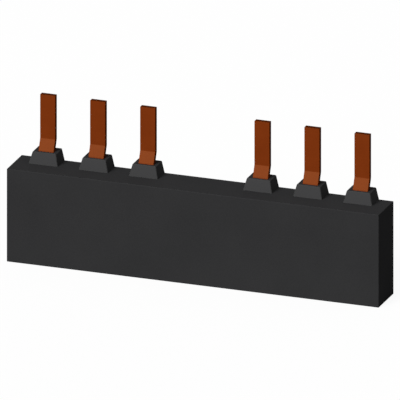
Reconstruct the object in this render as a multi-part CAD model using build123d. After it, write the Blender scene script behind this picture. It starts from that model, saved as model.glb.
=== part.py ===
from build123d import *
import os

# Three-phase busbar for two three-pole devices that stand side by side.
# X runs along the housing, Y is its depth with the back at +Y, and Z points up.
# The origin is the middle of the housing's underside.

# Where the phases come out
pole_pitch = 14.7        # from one tab to the next of the same device
device_spacing = 63.0    # from a tab to the same phase's tab at the other device
poles = 3
devices = 2

# Housing
end_margin = 8.5         # from the outer collar's middle to the end of the housing
height = 27.3
wall = 1.5
edge_radius = 0.2        # broken outer edges; those of the back face are left sharp by the mould
lip = 0.8                # what is left of the wall around the back cover

# Collar round each tab, a frustum on the roof that is flush with the housing's back
collar_height = 3.4
collar_base_width = 8.5
collar_top_width = 6.8
collar_base_front = 6.1  # from the housing's front face
collar_top_front = 6.9
collar_bevel = 0.15      # broken upper and front edges of the collar

# Conductor strip and its tabs
strip = 1.5              # thickness of the copper sheet
bar_height = 10.0
bar_margin = 3.0         # how far the bar runs on past its outer tabs
tab_width = 4.4
tab_shift = 0.2          # how far each tab stands to the right of its collar's middle
tab_reach = 16.2         # from the collar's top to the end of the tab
crank_offset = 1.35      # how far the tab steps back outside
crank_height = 3.4       # height over which it does so
bend_radius = 0.6        # inside radius of every bend
corner_radius = 1.0      # stamped corners
nest_top = 1.0           # from the inner crank's upper end to the roof
blank_end = 2.0          # flat sheet between the bar's top and the first bend, at least

# Insulators between the conductors
insulator = 1.4          # thickness
play = 0.1               # clearance between pieces that are laid against each other
notch_margin = 0.9       # clear space at each side of a crank that passes an insulator
crank_room = 3.0         # from the crank's front face down to the floor of the notch it passes
pad_radius = 2.2

# Posts that string the pack together
post_radius = 1.5
post_spacing = 20.0
pin_radius = 1.0
head_radius = 1.7
head_height = 0.5
head_bevel = 0.3         # bevel that the staking punch leaves round the head
head_sink = 0.1          # how far a staked head lies below the back face
counterbore_gap = 0.15

# Back cover
cover = 1.5              # thickness of the plate
cover_gap = 0.06         # seam round the cover and its tongues
rib = 1.2                # thickness of every stiffening rib
front_ribs = 3           # ribs past the end of the front conductor
rib_reach = 1.0          # from the cover's inner face to the rear conductor
tongue_relief = 0.5      # bevel that clears the bend of the tab

# Places in depth, from the front face backwards
layer = strip + insulator + 2 * play
bar_fronts = [wall + play + layer * phase for phase in range(poles)]
insulator_fronts = [bar_fronts[phase] + strip + play for phase in range(poles - 1)]
tab_front = bar_fronts[-1]
tab_back = tab_front + strip
stack_back = tab_back + play
cover_front = stack_back + rib_reach
depth = cover_front + cover
mid = depth / 2

# Places in height
floor_top = wall
roof_bottom = height - wall
bar_bottom = floor_top + 2 * play
bar_top = bar_bottom + bar_height
post_level = bar_bottom + bar_height / 2
collar_top = height + collar_height
tab_top = collar_top + tab_reach
nest_level = roof_bottom - nest_top

# Places along the housing
length = device_spacing * (devices - 1) + pole_pitch * (poles - 1) + 2 * end_margin
inner_end = length / 2 - wall
first_tab = end_margin - length / 2 + tab_shift
tab_places = [[first_tab + phase * pole_pitch + device * device_spacing for device in range(devices)]
              for phase in range(poles)]
all_tabs = sorted(place for places in tab_places for place in places)
collar_places = [place - tab_shift for place in all_tabs]
post_places = [-post_spacing / 2, post_spacing / 2]
slot_half = tab_width / 2 + play
bar_ends = [(places[0] - tab_width / 2 - bar_margin, places[-1] + tab_width / 2 + bar_margin)
            for places in tab_places]


def block(x, y, z):
    """A box between pairs of limits, with y counted from the front face."""
    size = (x[1] - x[0], y[1] - y[0], z[1] - z[0])
    centre = ((x[0] + x[1]) / 2, (y[0] + y[1]) / 2 - mid, (z[0] + z[1]) / 2)
    return Pos(*centre) * Box(*size)


def rod(x, z, radius, y):
    """A round bar that runs from front to back between two depths."""
    centre = Pos(x, (y[0] + y[1]) / 2 - mid, z)
    return centre * Rot(90, 0, 0) * Cylinder(radius, y[1] - y[0])


def side_profile(points):
    """A face in the YZ plane from points given as depth and height."""
    return make_face(Polyline(*[(0, y - mid, z) for y, z in points], close=True))


def spread(face, x):
    """A side profile extruded along the housing between two limits."""
    return extrude(Pos(x[0], 0, 0) * face, amount=x[1] - x[0], dir=(1, 0, 0))


def off_the_back(edges):
    """The edges that don't lie in the back face, where the mould parts and leaves them sharp."""
    return edges.filter_by(lambda edge: edge.center().Y < depth - mid - edge_radius)


def collar(x):
    """The solid frustum that a tab's collar is cut from."""
    base_depth = (collar_base_front + depth) / 2 - mid
    top_depth = (collar_top_front + depth) / 2 - mid
    base = Rectangle(collar_base_width, depth - collar_base_front)
    top = Rectangle(collar_top_width, depth - collar_top_front)
    form = loft([Pos(x, base_depth, height) * base, Pos(x, top_depth, collar_top) * top], ruled=True)
    upper = form.edges().filter_by(lambda edge: edge.center().Z > height + collar_bevel)
    form = chamfer(off_the_back(upper), collar_bevel)
    root = block((x - collar_base_width / 2, x + collar_base_width / 2),
                 (collar_base_front, depth), (height - wall / 2, height))
    return form + root


def outer_form():
    """The closed outside of the housing with its collars, before anything is cut out."""
    body = block((-length / 2, length / 2), (0, depth), (0, height))
    body = fillet(off_the_back(body.edges()), edge_radius)
    for x in collar_places:
        body += collar(x)
    return body


def post(x):
    """A post from the front wall, with the pin that carries the cover and its staked head."""
    shaft = rod(x, post_level, post_radius, (wall / 2, cover_front - play))
    pin = rod(x, post_level, pin_radius, (wall / 2, depth - head_sink))
    head = rod(x, post_level, head_radius, (depth - head_sink - head_height, depth - head_sink))
    rim = head.edges().filter_by(GeomType.CIRCLE).sort_by(Axis.Y)[-1]
    return shaft + pin + chamfer(rim, head_bevel)


def front_rib(x):
    """A rib on the front wall that backs the first insulator where no conductor lies."""
    return block((x - rib / 2, x + rib / 2), (wall / 2, insulator_fronts[0] - play),
                 (wall / 2, height - wall / 2))


def spaced(start, end, count):
    """Places spread evenly between two limits, without the limits themselves."""
    return [start + (end - start) * (step + 1) / (count + 1) for step in range(count)]


def housing(outside):
    """The front moulding: front, floor, roof and ends, six collars, two posts and its ribs."""
    shell = outside - block((-inner_end, inner_end), (wall, depth), (floor_top, roof_bottom))
    shell -= block((lip - length / 2, length / 2 - lip), (cover_front, depth), (lip, height - lip))
    for x in all_tabs:
        shell -= block((x - slot_half, x + slot_half), (tab_front - play, depth),
                       (roof_bottom - wall, collar_top + wall))
    for x in post_places:
        shell += post(x)
    for x in spaced(bar_ends[0][1], inner_end, front_ribs):
        shell += front_rib(x)
    return shell


def mitre(points, side):
    """The path moved sideways by a distance, with its corners kept sharp."""
    moved = []
    count = len(points)
    for index, point in enumerate(points):
        before = points[index] - points[index - 1] if index > 0 else points[1] - points[0]
        after = points[index + 1] - point if index < count - 1 else before
        normal_before = Vector(before.Y, -before.X).normalized()
        normal_after = Vector(after.Y, -after.X).normalized()
        middle = (normal_before + normal_after).normalized()
        moved.append(point + middle * (side / middle.dot(normal_before)))
    return moved


def strip_profile(points):
    """Side view of the bent strip: its front face follows the points given as depth and height."""
    front = [Vector(y, z) for y, z in points]
    back = mitre(front, strip)
    front_radii = []
    back_radii = []
    for index in range(1, len(front) - 1):
        before = front[index] - front[index - 1]
        after = front[index + 1] - front[index]
        leans_back = before.X * after.Y - before.Y * after.X < 0
        front_radii.append(bend_radius + strip if leans_back else bend_radius)
        back_radii.append(bend_radius if leans_back else bend_radius + strip)
    front_line = bent_line(front, front_radii)
    back_line = bent_line(back, back_radii)
    ends = [Line(front_line @ 0, back_line @ 0), Line(front_line @ 1, back_line @ 1)]
    return make_face([front_line, back_line] + ends)


def bent_line(points, radii):
    """A line through depth and height points in the YZ plane, rounded at its corners."""
    return FilletPolyline(*[(0, point.X - mid, point.Y) for point in points], radius=radii)


def tab_path(phase):
    """Depth and height of the tab's front face, from the bar to its free end."""
    start = bar_fronts[phase]
    shift = tab_front - start
    path = [(start, bar_top - corner_radius)]
    if shift > 0:
        path += [(start, nest_level - shift), (tab_front, nest_level)]
    path += [(tab_front, collar_top), (tab_front + crank_offset, collar_top + crank_height)]
    path += [(tab_front + crank_offset, tab_top)]
    return path


def blank(phase):
    """The flat part of a conductor: the bar with the roots of its two tabs, stamped in one outline."""
    left, right = bar_ends[phase]
    stub_top = bar_top + blank_end
    bar = Pos((left + right) / 2, (bar_bottom + bar_top) / 2) * Rectangle(right - left, bar_height)
    outline = bar
    for x in tab_places[phase]:
        outline += Pos(x, (bar_bottom + stub_top) / 2) * Rectangle(tab_width, stub_top - bar_bottom)
    corners = outline.vertices().filter_by(lambda corner: corner.Y < stub_top - blank_end / 2)
    outline = fillet(corners, corner_radius)
    flat = extrude(Plane.XZ * outline, amount=strip, dir=(0, 1, 0))
    return Pos(0, bar_fronts[phase] - mid, 0) * flat


def conductor(phase):
    """One phase: a flat bar with two tabs, bent back in steps so that all six tabs line up."""
    piece = blank(phase)
    profile = strip_profile(tab_path(phase))
    for x in tab_places[phase]:
        piece += spread(profile, (x - tab_width / 2, x + tab_width / 2))
    for x in post_places:
        piece -= rod(x, post_level, post_radius + play, (0, depth))
    return piece


def separator(level):
    """Moulded insulator behind a conductor, notched where the cranks of the ones before it pass."""
    front = insulator_fronts[level]
    back = front + insulator
    sheet = block((play - inner_end, inner_end - play), (front, back),
                  (floor_top + play, roof_bottom - play))
    notch_floor = nest_level - (tab_front - front) - crank_room
    for phase in range(level + 1):
        for x in tab_places[phase]:
            half = tab_width / 2 + notch_margin
            sheet -= block((x - half, x + half), (front, back), (notch_floor, roof_bottom))
    for x in post_places:
        sheet -= rod(x, post_level, post_radius + play, (0, depth))
    if level < poles - 2:
        for pad in spacer_pads(level):
            sheet += pad
    return sheet


def spacer_pads(level):
    """Round pads that hold the next insulator off where the conductor between the two ends."""
    left, right = bar_ends[level + 1]
    back = insulator_fronts[level] + insulator
    places = spaced(-inner_end, left, 1) + spaced(right, inner_end, 1)
    heights = [post_level, bar_top + pad_radius]
    pads = []
    for x in places:
        for z in heights:
            pads.append(rod(x, z, pad_radius, (back - insulator / 2, back + strip + play)))
    return pads


def back_rib(x):
    """A rib on the cover that backs the last insulator, stepped where the rear conductor passes."""
    side = (x - rib / 2, x + rib / 2)
    shape = block(side, (tab_front, cover_front + cover / 2), (floor_top + play, roof_bottom - play))
    left, right = bar_ends[-1]
    if left < x < right:
        shape -= block(side, (tab_front, stack_back), (floor_top, bar_top + play))
    return shape


def tongue(x, outside):
    """The part of the cover that fills the collar and the roof behind a tab."""
    half = slot_half - cover_gap
    blade = block((x - half, x + half), (stack_back, depth), (roof_bottom - wall, collar_top))
    relief = side_profile([(stack_back, collar_top - tongue_relief), (stack_back, collar_top),
                           (stack_back + tongue_relief, collar_top)])
    return (blade & outside) - spread(relief, (x - half, x + half))


def back_cover(outside):
    """The rear moulding: a plate let into the housing, with six tongues and stepped ribs."""
    gap = lip + cover_gap
    plate = block((gap - length / 2, length / 2 - gap), (cover_front, depth), (gap, height - gap))
    for x in all_tabs:
        plate += tongue(x, outside)
    gaps = [(left + right) / 2 for left, right in zip(all_tabs, all_tabs[1:])]
    ends = [(all_tabs[0] - tab_width / 2 - inner_end) / 2, (all_tabs[-1] + tab_width / 2 + inner_end) / 2]
    for x in gaps + ends:
        plate += back_rib(x)
    for x in post_places:
        plate -= rod(x, post_level, pin_radius + play, (0, depth + wall))
        plate -= rod(x, post_level, head_radius + counterbore_gap, (depth - head_sink - head_height, depth + wall))
    return plate


def save(piece, name):
    """Writes one piece of the busbar."""
    export_step(piece, "parts/" + name + ".step")
    print(name, round(piece.volume, 1), "mm3", len(piece.solids()), "solid")


os.makedirs("parts", exist_ok=True)
outside = outer_form()
save(housing(outside), "housing")
save(back_cover(outside), "back_cover")
for phase in range(poles):
    save(conductor(phase), "conductor_l" + str(phase + 1))
for level in range(poles - 1):
    save(separator(level), "insulator_" + str(level + 1))
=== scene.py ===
# %% [markdown]
# A three-phase busbar hands one three-pole supply on to two devices that stand side by side.
# Outside it is a plain black moulding with six tapered collars and six flat copper tabs.
# Its pieces come measured and in place from the imported model. This lesson gives them their
# finish, breaks the sharp edges of the copper, and sets up the camera and lamps to photograph
# the whole.

from math import cos, hypot, radians, sin

import bpy
from mathutils import Matrix, Vector


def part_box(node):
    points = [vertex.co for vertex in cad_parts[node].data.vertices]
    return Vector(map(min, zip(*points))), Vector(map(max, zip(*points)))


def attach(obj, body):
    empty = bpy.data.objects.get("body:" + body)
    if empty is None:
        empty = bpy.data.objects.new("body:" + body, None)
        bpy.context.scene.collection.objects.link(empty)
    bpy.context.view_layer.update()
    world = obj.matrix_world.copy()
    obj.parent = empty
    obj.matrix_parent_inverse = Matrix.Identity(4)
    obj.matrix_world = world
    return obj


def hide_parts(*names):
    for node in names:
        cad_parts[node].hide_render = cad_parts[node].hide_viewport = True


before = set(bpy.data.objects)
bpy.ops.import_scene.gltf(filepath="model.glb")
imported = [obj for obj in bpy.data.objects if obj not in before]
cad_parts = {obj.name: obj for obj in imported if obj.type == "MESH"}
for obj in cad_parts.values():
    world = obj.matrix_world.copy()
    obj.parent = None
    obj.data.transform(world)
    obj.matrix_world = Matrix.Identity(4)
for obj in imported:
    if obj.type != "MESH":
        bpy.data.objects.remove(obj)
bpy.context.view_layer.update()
print("pieces:", ", ".join(sorted(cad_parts)))

# %% [markdown]
# The finishes follow the shape, so they need some of its sizes. Most are read from the boxes
# of the pieces: the top of the housing's box is the top of its collars, and the box of the
# rear conductor gives the depth of the tabs' crank. A box doesn't show the rest: how high the
# roof is that the collars stand on, how thick the strip is, and how high the crank is. Those
# three are repeated from the drawing.

# %% Sizes that the finishes follow
mm = 0.001
roof = 27.3 * mm
strip = 1.5 * mm
crank_height = 3.4 * mm
housing_low, housing_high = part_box("housing")
conductor_low, conductor_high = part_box("conductor_l3")
collar_top = housing_high.z
crank_offset = (conductor_high.y - conductor_low.y) - strip
print("collar top %.1f mm, tab end %.1f mm, crank %.2f mm back"
      % (collar_top / mm, conductor_high.z / mm, crank_offset / mm))

# %% [markdown]
# The camera looks with parallel rays, 20 degrees round to the right and 20 degrees down. Its
# place could be tried out by eye until the picture fits. A parallel view makes that needless:
# it has no distance, so its size is one number, how wide a strip of the world fills the
# picture. The aim then follows from where the housing's front upper left corner lies in the
# picture, counted from the middle of the frame.

# %% Camera
turn = radians(20)
tilt = radians(20)
mm_per_pixel = 0.27629
frame_pixels = 400
corner_pixel = (6.65, 168.75)
distance = 0.6

backwards = Vector((sin(turn) * cos(tilt), -cos(turn) * cos(tilt), sin(tilt)))
rightwards = Vector((cos(turn), sin(turn), 0))
upwards = backwards.cross(rightwards)
corner = Vector((housing_low.x, housing_low.y, roof))
steps_right = (frame_pixels / 2 - corner_pixel[0]) * mm_per_pixel * mm
steps_up = (corner_pixel[1] - frame_pixels / 2) * mm_per_pixel * mm
aim = corner + rightwards * steps_right + upwards * steps_up

camera_data = bpy.data.cameras.new("camera")
camera_data.type = "ORTHO"
camera_data.ortho_scale = frame_pixels * mm_per_pixel * mm
camera_data.clip_start = 0.01
camera_data.clip_end = 20
camera = bpy.data.objects.new("camera", camera_data)
bpy.context.scene.collection.objects.link(camera)
camera.matrix_world = Matrix.Translation(aim + backwards * distance) @ Matrix(
    (rightwards, upwards, backwards)).transposed().to_4x4()
bpy.context.scene.camera = camera
bpy.context.scene.view_settings.view_transform = "Standard"
print("camera frame is %.1f mm wide" % (camera_data.ortho_scale / mm))

# %% [markdown]
# A finish is easier to read as a sum than as a tangle of nodes. This small class holds one
# output of a material. Plus, minus and times on it add the Math nodes, and its method node
# adds any other kind, with the node's settings first and its inputs after them.

# %% A socket that can be added and multiplied
class Wire:
    """One output in a material's node tree."""

    def __init__(self, tree, socket=None):
        self.tree = tree
        self.socket = socket

    def node(self, kind, inputs=None, output=0, **settings):
        made = self.tree.nodes.new(kind)
        for name, value in settings.items():
            setattr(made, name, value)
        for name, value in (inputs or {}).items():
            if isinstance(value, Wire):
                self.tree.links.new(value.socket, made.inputs[name])
            else:
                made.inputs[name].default_value = value
        return Wire(self.tree, made.outputs[output])

    def maths(self, operation, first, second=0):
        return self.node("ShaderNodeMath", {0: first, 1: second}, operation=operation)

    def __add__(self, other):
        return self.maths("ADD", self, other)

    def __radd__(self, other):
        return self.maths("ADD", other, self)

    def __sub__(self, other):
        return self.maths("SUBTRACT", self, other)

    def __rsub__(self, other):
        return self.maths("SUBTRACT", other, self)

    def __mul__(self, other):
        return self.maths("MULTIPLY", self, other)

    def __rmul__(self, other):
        return self.maths("MULTIPLY", other, self)

    def __abs__(self):
        return self.maths("ABSOLUTE", self)


print("a wire knows plus, minus, times and its size without a sign")

# %% [markdown]
# Every finish here is made from the same few things: a place on the piece, blotches of a given
# size, a mask that goes from 0 to 1 between two limits, and a blend of two colours. A picture
# of the surface could do the same, but it blurs close up and has to be laid round each
# corner. Noise that is worked out in the piece's own space stays sharp and has no joins.

# %% Helpers for finishes
def start_material(name):
    """A new material with its shader and the piece's own coordinates."""
    material = bpy.data.materials.new(name)
    material.use_nodes = True
    tree = material.node_tree
    shader = tree.nodes["Principled BSDF"]
    place = Wire(tree).node("ShaderNodeTexCoord", output="Object")
    return material, shader, place


def plug(node, name, wire):
    """Links a wire to one input of a node."""
    wire.tree.links.new(wire.socket, node.inputs[name])


def axis(vector, name):
    """One axis of a vector."""
    return vector.node("ShaderNodeSeparateXYZ", {"Vector": vector}, output=name)


def noise(place, size, detail):
    """Soft blotches of about a given size, with finer ones in them."""
    return place.node("ShaderNodeTexNoise", {"Vector": place, "Scale": 1 / size, "Detail": detail})


def swing(value):
    """The same noise moved down, so that it swings about 0."""
    return value - 0.5


def ramp(value, start, end, top=1):
    """A mask that rises from 0 to its top while the value goes from start to end."""
    limits = {"From Min": start, "From Max": end, "To Max": top}
    return value.node("ShaderNodeMapRange", {"Value": value, **limits})


def blend(factor, first, second):
    """Two colours mixed by a wire, where 0 gives the first and 1 the second."""
    return factor.node("ShaderNodeMix", {"Factor": factor, "A": first, "B": second},
                       output="Result", data_type="RGBA")


print("helpers ready")

# %% [markdown]
# The housing is a black moulding from a spark-eroded mould. Such a mould leaves a fine even
# grain, a few tenths of a millimetre across and a few hundredths deep, so the plastic is dull
# all over and its colour nearly even. Fine noise gives the grain, and a much larger noise the
# faint clouds where the melt ran.
# The collars' fronts and flanks are painted a little paler than the body. It is a painted
# highlight on their sloping fronts, and it lightens their shaded flanks too. They could be a
# piece with another material, but they are one moulding with the body, so a mask finds them
# instead: all that lies above the roof and faces neither straight back nor straight up, because
# their backs and tops are as dark as the body.
# The insulators inside are moulded from plain cream-coloured plastic.

# %% Moulded plastic
def highlight_mask(place):
    """1 on the front and the flanks of the collars, where a paler highlight is painted."""
    foot_seam = 0.05 * mm
    square_on = 0.95
    askew = 0.90
    normal = place.node("ShaderNodeTexCoord", output="Normal")
    above_roof = ramp(axis(place, "Z"), roof, roof + foot_seam)
    not_back = ramp(axis(normal, "Y"), square_on, askew)
    not_top = ramp(axis(normal, "Z"), square_on, askew)
    return above_roof * not_back * not_top


def moulded_plastic(name, dark, light, painted_highlight, roughness, gloss):
    """Dull moulded plastic between two close shades, with a paler painted highlight on the collars.
    """
    grain_size = 0.28 * mm
    grain_depth = 0.03 * mm
    grain_strength = 0.9
    grain_share = 0.6
    grain_polish = 0.12
    cloud_size = 14 * mm
    cloud_polish = 0.08

    material, shader, place = start_material(name)
    grain = noise(place, grain_size, detail=3)
    clouds = noise(place, cloud_size, detail=2)
    body = blend(grain * grain_share + clouds * (1 - grain_share), dark, light)
    polish = swing(grain) * grain_polish + swing(clouds) * cloud_polish
    bump = grain.node("ShaderNodeBump", {"Height": grain, "Strength": grain_strength,
                                         "Distance": grain_depth})
    # the collars' fronts and flanks take a paler colour: a painted highlight, which also lightens
    # their shaded flanks
    plug(shader, "Base Color", blend(highlight_mask(place), body, painted_highlight))
    plug(shader, "Roughness", polish + roughness)
    plug(shader, "Normal", bump)
    shader.inputs["Specular IOR Level"].default_value = gloss
    return material


black = (0.022, 0.022, 0.023, 1)
soft_black = (0.040, 0.040, 0.041, 1)
# the paler grey of the collars is a painted highlight
collar_highlight_grey = (0.050, 0.050, 0.051, 1)
cream = (0.50, 0.48, 0.42, 1)
pale_cream = (0.56, 0.54, 0.48, 1)
housing_plastic = moulded_plastic("housing_plastic", dark=black, light=soft_black,
                                  painted_highlight=collar_highlight_grey, roughness=0.62, gloss=0)
insulator_plastic = moulded_plastic("insulator_plastic", dark=cream, light=pale_cream,
                                    painted_highlight=pale_cream, roughness=0.5, gloss=0.3)
print("plastics:", housing_plastic.name, insulator_plastic.name)

# %% [markdown]
# A conductor carries the marks of how it was made, and painted light besides, and each needs a
# mask. The stamped edge has two bands: the punch burnishes the first third of the thickness,
# and the rest breaks away rough. Those faces are painted darker, most of all the rough band,
# partly as its own tone and partly as painted shade on the tabs' sides. The cut end of each
# tab is painted darker as well, a painted shade. And the sloping faces of the crank are painted
# a little paler, a painted highlight.
# These places could be painted by hand. But each of them is known by where it lies or which
# way it faces, and a mask that is worked out from that fits all six tabs at once.

# %% Masks for the stamped edge, the crank and the cut end
def stamped_edge(place, facing, grit):
    """Two masks: the faces across the sheet, and that part of them which broke away."""
    wide_face = 0.25
    stamped_face = 0.10
    burnished = 0.30
    tear = 0.12
    raggedness = 0.3
    # a wide face looks forwards or back, even where it slopes, and a stamped face doesn't
    edge = ramp(abs(axis(facing, "Y")), wide_face, stamped_face)
    # on a tab the depth is 0 at the front of the strip and 1 at its back, below and above the crank
    crank_back = ramp(axis(place, "Z"), collar_top, collar_top + crank_height, crank_offset)
    depth = (axis(place, "Y") - crank_back - conductor_low.y) * (1 / strip)
    torn = ramp(depth + swing(grit) * raggedness, burnished, burnished + tear)
    return edge, torn * edge


def crank_and_end(facing):
    """Two masks: the sloping faces of a crank, where a highlight is painted, and the cut end of a
    tab, where shade is painted.
    """
    crank_lean = crank_offset / hypot(crank_offset, crank_height)
    near = 0.07
    far = 0.27
    askew = 0.90
    square_on = 0.95
    lean = abs(axis(facing, "Z"))
    at_least = ramp(lean, crank_lean - far, crank_lean - near)
    too_much = ramp(lean, crank_lean + near, crank_lean + far)
    # the cut end of a tab, which faces up, gets painted shade
    end_shade = ramp(lean, askew, square_on)
    return at_least - too_much, end_shade


print("masks ready for a strip %.1f mm thick" % (strip / mm))

# %% [markdown]
# The conductors are stamped from rolled copper sheet that is left bare. Rolling draws fine
# lines along the bar, so they cross the tabs from side to side, and bare copper dulls to a
# warm brown in soft clouds. A bright metal shader would mirror the room. Copper as dull as
# this shows its own colour much more than its surroundings, so only a fifth of it is metal
# here, and noise stretched along the bar draws the lines.

# %% Bare rolled copper
dull_copper = (0.143, 0.023, 0.0033, 1)
warm_copper = (0.222, 0.0405, 0.0066, 1)
# the broken band's dark colour is partly its own rough tone and partly painted shade on the tabs'
# sides
torn_and_shaded_copper = (0.025, 0.004, 0.001, 1)
# the dark colour of the cut end is painted shade
end_shade_copper = (0.030, 0.008, 0.002, 1)
# the pale crank colour is a painted highlight on the crank's sloping faces
crank_highlight_copper = (0.13, 0.11, 0.054, 1)
# the shares for the edge, the torn band and the cut end darken those faces, partly as painted
# shade, and the last share paints the highlight on the cranks
cover_of = {"edge": 0.15, "torn": 0.35, "end_shade": 0.5, "crank_highlight": 0.12}
relief_of = {"lines": 0.6, "grit": 1.2}
dulling_of = {"lines": 0.12, "clouds": 0.08, "torn": 0.15}


def rolled_copper():
    """Dull bare copper with rolling lines, a broken stamped edge, painted shade on the stamped
    edges and cut ends, and a painted highlight on the cranks.
    """
    line_length = 9 * mm
    line_pitch = 0.16 * mm
    line_scale = (1 / line_length, 1 / line_pitch, 1 / line_pitch)
    relief_depth = 0.01 * mm
    relief_strength = 0.4
    cloud_size = 5 * mm
    cloud_share = 0.6
    grit_size = 0.12 * mm
    metal_share = 0.2
    least_roughness = 0.46

    material, shader, place = start_material("copper")
    along = place.node("ShaderNodeMapping", {"Vector": place, "Scale": line_scale})
    lines = noise(along, size=1, detail=3)
    clouds = noise(place, cloud_size, detail=4)
    grit = noise(place, grit_size, detail=2)
    facing = place.node("ShaderNodeTexCoord", output="Normal")
    edge, torn = stamped_edge(place, facing, grit)
    crank_highlight, end_shade = crank_and_end(facing)

    # each tone covers only a share of the one before it
    rolled = blend(clouds * cloud_share + lines * (1 - cloud_share), dull_copper, warm_copper)
    # the stamped faces darken, most on the broken band: partly their own tone, partly painted shade
    # on the tabs' sides
    stamped = blend(edge * cover_of["edge"] + torn * cover_of["torn"], rolled, torn_and_shaded_copper)
    # the cut end of each tab is darkened: painted shade
    cut = blend(end_shade * cover_of["end_shade"], stamped, end_shade_copper)
    # the cranks' sloping faces are lightened: a painted highlight
    colour = blend(crank_highlight * cover_of["crank_highlight"], cut, crank_highlight_copper)

    relief = lines * relief_of["lines"] + torn * grit * relief_of["grit"]
    bump = relief.node("ShaderNodeBump", {"Height": relief, "Strength": relief_strength,
                                          "Distance": relief_depth})
    dulling = (lines * dulling_of["lines"] + clouds * dulling_of["clouds"]
               + torn * dulling_of["torn"])
    plug(shader, "Base Color", colour)
    plug(shader, "Roughness", dulling + least_roughness)
    plug(shader, "Metallic", metal_share - edge * metal_share)
    plug(shader, "Normal", bump)
    shader.inputs["Specular IOR Level"].default_value = 0
    return material


copper = rolled_copper()
print("metal:", copper.name)

# %% [markdown]
# Stamping and tumbling take the sharpness off copper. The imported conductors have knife-sharp
# edges, which no light catches. A fillet on every stamped edge would load the drawing with
# tiny faces, so the edges are broken here. Each conductor is copied, its loose triangles are
# merged into clean faces, and a narrow bevel goes round its edges. The bends are curved
# already and are too shallow for the bevel's angle, so they stay as they are.
# Smooth shading over such a narrow bevel would also bend the light on the wide faces beside
# it. So the shading is weighed by the size of each face, and the wide faces stay flat.

# %% Conductors with broken edges
edge_break = 0.06 * mm
sharp_angle = radians(50)
smooth_angle = radians(35)
same_point = 0.002 * mm
same_plane = radians(1)


def deselect_all():
    """Clears the selection, because an operator acts on all that is selected."""
    for piece in bpy.context.selected_objects:
        piece.select_set(False)


def broken_edge_copy(node, name):
    """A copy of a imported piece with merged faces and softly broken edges."""
    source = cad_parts[node]
    piece = source.copy()
    piece.data = source.data.copy()
    piece.name = name
    piece.parent = None
    # the marks that each imported piece carries about itself don't belong on a copy
    for mark in list(piece.keys()):
        del piece[mark]
    bpy.context.scene.collection.objects.link(piece)
    deselect_all()
    piece.select_set(True)
    bpy.context.view_layer.objects.active = piece
    bpy.ops.object.mode_set(mode="EDIT")
    bpy.ops.mesh.select_all(action="SELECT")
    bpy.ops.mesh.customdata_custom_splitnormals_clear()
    bpy.ops.mesh.remove_doubles(threshold=same_point)
    bpy.ops.mesh.dissolve_limited(angle_limit=same_plane)
    bpy.ops.object.mode_set(mode="OBJECT")
    bevel = piece.modifiers.new("broken edges", "BEVEL")
    bevel.width = edge_break
    bevel.segments = 2
    bevel.limit_method = "ANGLE"
    bevel.angle_limit = sharp_angle
    bpy.ops.object.modifier_apply(modifier=bevel.name)
    bpy.ops.object.shade_smooth_by_angle(angle=smooth_angle)
    weighing = piece.modifiers.new("flat wide faces", "WEIGHTED_NORMAL")
    weighing.keep_sharp = True
    bpy.ops.object.modifier_apply(modifier=weighing.name)
    return piece


for phase in ("l1", "l2", "l3"):
    node = "conductor_" + phase
    piece = broken_edge_copy(node, "copper_" + phase)
    piece.data.materials.clear()
    piece.data.materials.append(copper)
    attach(piece, "root")
    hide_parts(node)
    print(piece.name, len(piece.data.polygons), "faces")

# %% [markdown]
# The housing, its back cover and the insulators already have their true form, with the
# rounded outer edges that a mould gives. They need no copy, so they only change their
# material.

# %% Finish of the moulded pieces
plastics = {"housing": housing_plastic, "back_cover": housing_plastic,
            "insulator_1": insulator_plastic, "insulator_2": insulator_plastic}
for node, material in plastics.items():
    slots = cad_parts[node].data.materials
    slots.clear()
    slots.append(material)
    print(node, "is", material.name)

# %% [markdown]
# A black thing on white needs care: the ground must look nearly white without throwing much
# light up on the dark sides. Brighter lamps would only grey the plastic. So rays that reach
# the camera, straight or by a mirror or glass, find a bright ground, and all other rays find
# a duller one that sends only a modest part of its light on. This mask tells the two apart,
# for the floor and for the world alike.

# %% Mask for the rays that show the ground
def seen_rays(tree):
    """1 for rays that show the ground to the camera and 0 for those that only light things."""
    start = Wire(tree)
    straight, mirrored, through = [start.node("ShaderNodeLightPath", output=name) for name in
                                   ("Is Camera Ray", "Is Glossy Ray", "Is Transmission Ray")]
    return start.node("ShaderNodeClamp", {"Value": straight + mirrored + through})


print("mask ready")

# %% [markdown]
# The busbar stands on a plain pale floor. One that only glowed would swallow the shadow, and
# the busbar would seem to float. So a small share of the floor's own matte surface stays in
# the mix, and that keeps the soft shadow.

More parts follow.
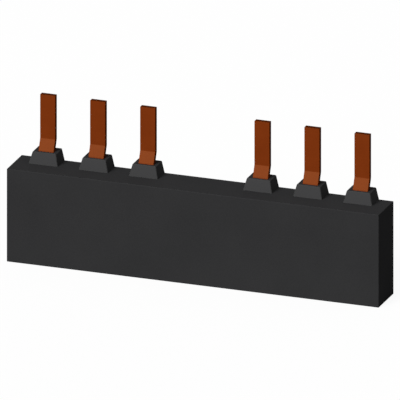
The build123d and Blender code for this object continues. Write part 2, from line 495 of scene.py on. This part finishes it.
# %% Floor
floor_size = 6
floor_level = -0.02 * mm
glow_share = 0.92
floor_roughness = 0.9
lit_grey = (0.3, 0.3, 0.3, 1)
white = (1, 1, 1, 1)

bpy.ops.mesh.primitive_plane_add(size=floor_size, location=(0, 0, floor_level))
floor = bpy.context.active_object
floor.name = "floor"
floor_paint = bpy.data.materials.new("floor_paint")
floor_paint.use_nodes = True
tree = floor_paint.node_tree
matte = tree.nodes["Principled BSDF"]
matte.inputs["Roughness"].default_value = floor_roughness
matte.inputs["Specular IOR Level"].default_value = 0
seen = seen_rays(tree)
plug(matte, "Base Color", blend(seen, lit_grey, white))
glow = seen.node("ShaderNodeEmission", {"Color": white, "Strength": 1})
lit = Wire(tree, matte.outputs["BSDF"])
surface = seen.node("ShaderNodeMixShader", {"Fac": seen * glow_share, 1: lit, 2: glow})
plug(tree.nodes["Material Output"], "Surface", surface)
floor.data.materials.append(floor_paint)
print("floor", floor_size, "m wide")

# %% [markdown]
# One broad lamp stands high in front and to the left. It lights the front most, the top a
# little less, and leaves the right ends dark, which is what gives the plain block its form.
# A second one shines almost level from behind. It keeps the back readable and hardly touches
# the top, where the collars would otherwise throw dark patches forwards. The world adds a low
# even light. Both lamps are suns: a near lamp would light the left end more than the right,
# and the long front is evenly lit.

# %% Lights
def add_sun(name, direction, strength, spread):
    """A distant lamp that shines from a direction and looks so many degrees wide."""
    lamp = bpy.data.lights.new(name, "SUN")
    lamp.energy = strength
    lamp.angle = radians(spread)
    holder = bpy.data.objects.new(name, lamp)
    bpy.context.scene.collection.objects.link(holder)
    holder.matrix_world = Vector(direction).to_track_quat("Z", "Y").to_matrix().to_4x4()


add_sun("key", direction=(-0.30, -0.81, 0.65), strength=3.15, spread=30)
add_sun("back", direction=(-0.30, 0.95, 0.05), strength=1.5, spread=5)

even_light = 0.29
world = bpy.data.worlds.new("studio")
world.use_nodes = True
bpy.context.scene.world = world
background = world.node_tree.nodes["Background"]
background.inputs["Color"].default_value = white
seen = seen_rays(world.node_tree)
plug(background, "Strength", even_light + seen * (1 - even_light))
print("two lamps and an even light of", even_light)
